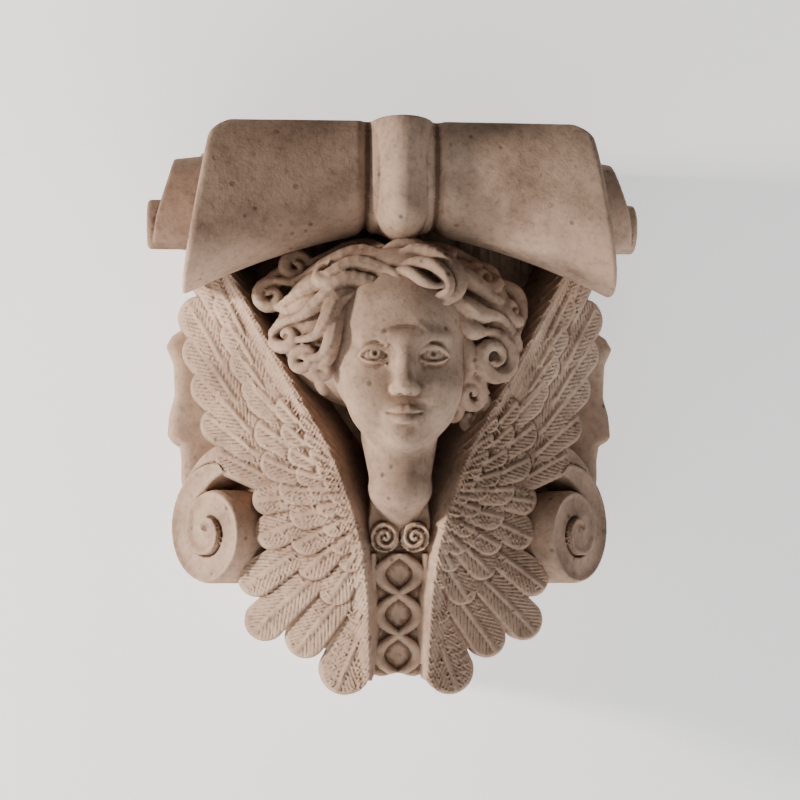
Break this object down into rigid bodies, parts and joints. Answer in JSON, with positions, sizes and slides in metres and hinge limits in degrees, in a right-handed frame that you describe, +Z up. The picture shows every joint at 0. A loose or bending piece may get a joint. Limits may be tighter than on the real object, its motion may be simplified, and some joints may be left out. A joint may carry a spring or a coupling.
{
  "type": "wall bracket",
  "caption": "Carved wall bracket: a flat shelf with a curled bolster front and end scrolls, carried by a winged child's head with a strapwork pendant.",
  "frame": {"origin": "middle of the flat wall face, on the plane that lies on the wall", "axes": "+X to the viewer's right, +Y into the wall, +Z up; the head looks along -Y"},
  "size_m": [0.4159, 0.238, 0.4593],
  "materials": {
    "stone": "matt, weathered fired clay or cast stone, pale buff pink with grey-brown dirt in the hollows"
  },
  "bodies": {
    "root": {"bracket": "stone"}
  },
  "joints": []
}
